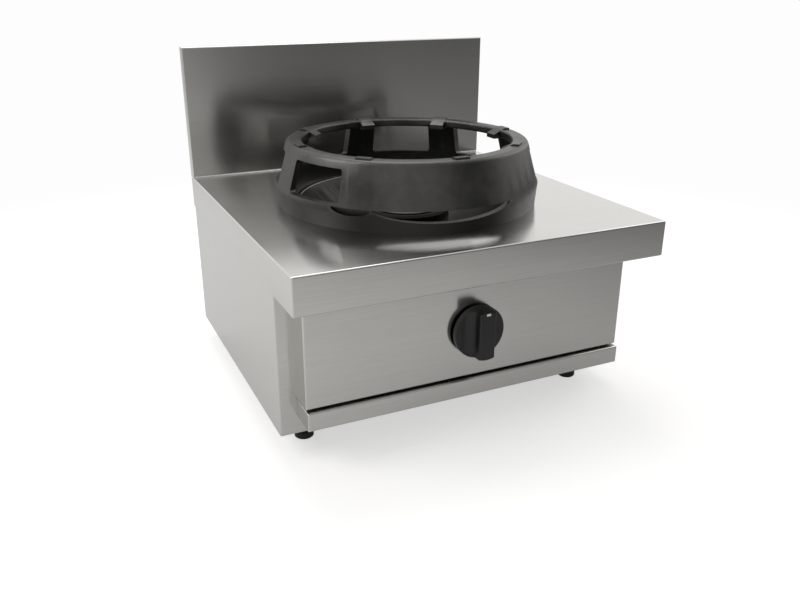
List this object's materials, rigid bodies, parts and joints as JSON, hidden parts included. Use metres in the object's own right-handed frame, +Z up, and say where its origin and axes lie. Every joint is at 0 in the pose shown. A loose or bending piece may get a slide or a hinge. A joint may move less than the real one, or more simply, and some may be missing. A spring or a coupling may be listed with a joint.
{
  "type": "wok range",
  "caption": "Countertop gas wok range: folded stainless casing with splashback, cast wok ring over a bowl and burner, one control knob, pull-out drip tray and levelling feet.",
  "frame": {"origin": "on the table, under the middle of the worktop's outline", "axes": "+Z up, front towards -Y, +X to the user's right"},
  "size_m": [0.6, 0.592, 0.548],
  "materials": {
    "casing_steel": "satin stainless sheet, fine grain",
    "inner_steel": "mill-finish stainless sheet",
    "tray_steel": "stainless sheet, dulled by cleaning",
    "bowl_steel": "spun stainless, turned marks",
    "screw_steel": "plain stainless",
    "spring_steel": "drawn spring wire",
    "shutter_steel": "zinc-plated steel",
    "foot_steel": "turned stainless",
    "pipe_steel": "drawn stainless tube",
    "ring_iron": "matte cast iron, dry",
    "burner_iron": "matte cast iron",
    "burner_brass": "turned brass, heat-dulled",
    "fitting_brass": "machined brass",
    "copper_tube": "drawn soft tube, copper-coloured",
    "knob_plastic": "moulded thermoset, satin",
    "pointer_paint": "white filled mark",
    "pad_rubber": "moulded rubber"
  },
  "bodies": {
    "casing": {"back_panel": "inner_steel", "base_panel": "inner_steel", "bracket_screws": "screw_steel", "burner_body": "burner_iron", "burner_bowl": "bowl_steel", "burner_cap": "burner_iron", "burner_crown": "burner_brass", "burner_pipe": "copper_tube", "burner_rail_front": "inner_steel", "burner_rail_rear": "inner_steel", "control_panel": "casing_steel", "foot_nuts": "screw_steel", "injector": "fitting_brass", "injector_bracket": "inner_steel", "injector_holder": "fitting_brass", "inlet_fitting": "fitting_brass", "inlet_locknut": "fitting_brass", "left_side_panel": "casing_steel", "lower_front_rail": "inner_steel", "panel_screws": "screw_steel", "pilot_burner": "fitting_brass", "pilot_plate": "inner_steel", "pilot_tube": "copper_tube", "right_side_panel": "casing_steel", "splashback": "casing_steel", "supply_pipe": "pipe_steel", "supply_pipe_nut": "fitting_brass", "tap_body": "fitting_brass", "tap_cover": "fitting_brass", "tap_cover_screws": "screw_steel", "tap_nut": "fitting_brass", "tap_plate": "inner_steel", "thermocouple": "copper_tube", "tray_runner_left": "inner_steel", "tray_runner_right": "inner_steel", "upper_front_rail": "inner_steel", "wok_ring": "ring_iron", "worktop": "casing_steel", "worktop_stiffener_left": "inner_steel", "worktop_stiffener_right": "inner_steel"},
    "tap_rotor": {"tap_plug": "fitting_brass"},
    "knob_set": {"knob": "knob_plastic", "knob_pointer": "pointer_paint", "knob_bush": "fitting_brass", "tap_spindle": "screw_steel", "tap_spring": "spring_steel"},
    "tray": {"drip_tray": "tray_steel", "drip_tray_front": "casing_steel"},
    "shutter": {"air_shutter": "shutter_steel"},
    "foot_front_left": {"foot_pad_front_left": "pad_rubber", "foot_stud_front_left": "foot_steel"},
    "foot_front_right": {"foot_pad_front_right": "pad_rubber", "foot_stud_front_right": "foot_steel"},
    "foot_rear_left": {"foot_pad_rear_left": "pad_rubber", "foot_stud_rear_left": "foot_steel"},
    "foot_rear_right": {"foot_pad_rear_right": "pad_rubber", "foot_stud_rear_right": "foot_steel"}
  },
  "joints": [
    {"name": "knob_turn", "type": "hinge", "parent": "casing", "child": "tap_rotor", "pos_m": [0, -0.2, 0.172], "axis": [0, -1, 0], "range_deg": [0, 200]},
    {"name": "knob_push", "type": "slide", "parent": "tap_rotor", "child": "knob_set", "axis": [0, 1, 0], "range_m": [0, 0.004], "stiffness_N_per_m": 1500, "springref_m": -0.006},
    {"name": "drip_tray_slide", "type": "slide", "parent": "casing", "child": "tray", "axis": [0, -1, 0], "range_m": [0, 0.35]},
    {"name": "air_shutter_turn", "type": "hinge", "parent": "casing", "child": "shutter", "pos_m": [0, -0.112, 0.224], "axis": [0, -1, 0], "range_deg": [-30, 30]},
    {"name": "foot_height_front_left", "type": "slide", "parent": "casing", "child": "foot_front_left", "axis": [0, 0, -1], "range_m": [0, 0.015]},
    {"name": "foot_height_front_right", "type": "slide", "parent": "casing", "child": "foot_front_right", "axis": [0, 0, -1], "range_m": [0, 0.015]},
    {"name": "foot_height_rear_left", "type": "slide", "parent": "casing", "child": "foot_rear_left", "axis": [0, 0, -1], "range_m": [0, 0.015]},
    {"name": "foot_height_rear_right", "type": "slide", "parent": "casing", "child": "foot_rear_right", "axis": [0, 0, -1], "range_m": [0, 0.015]}
  ]
}
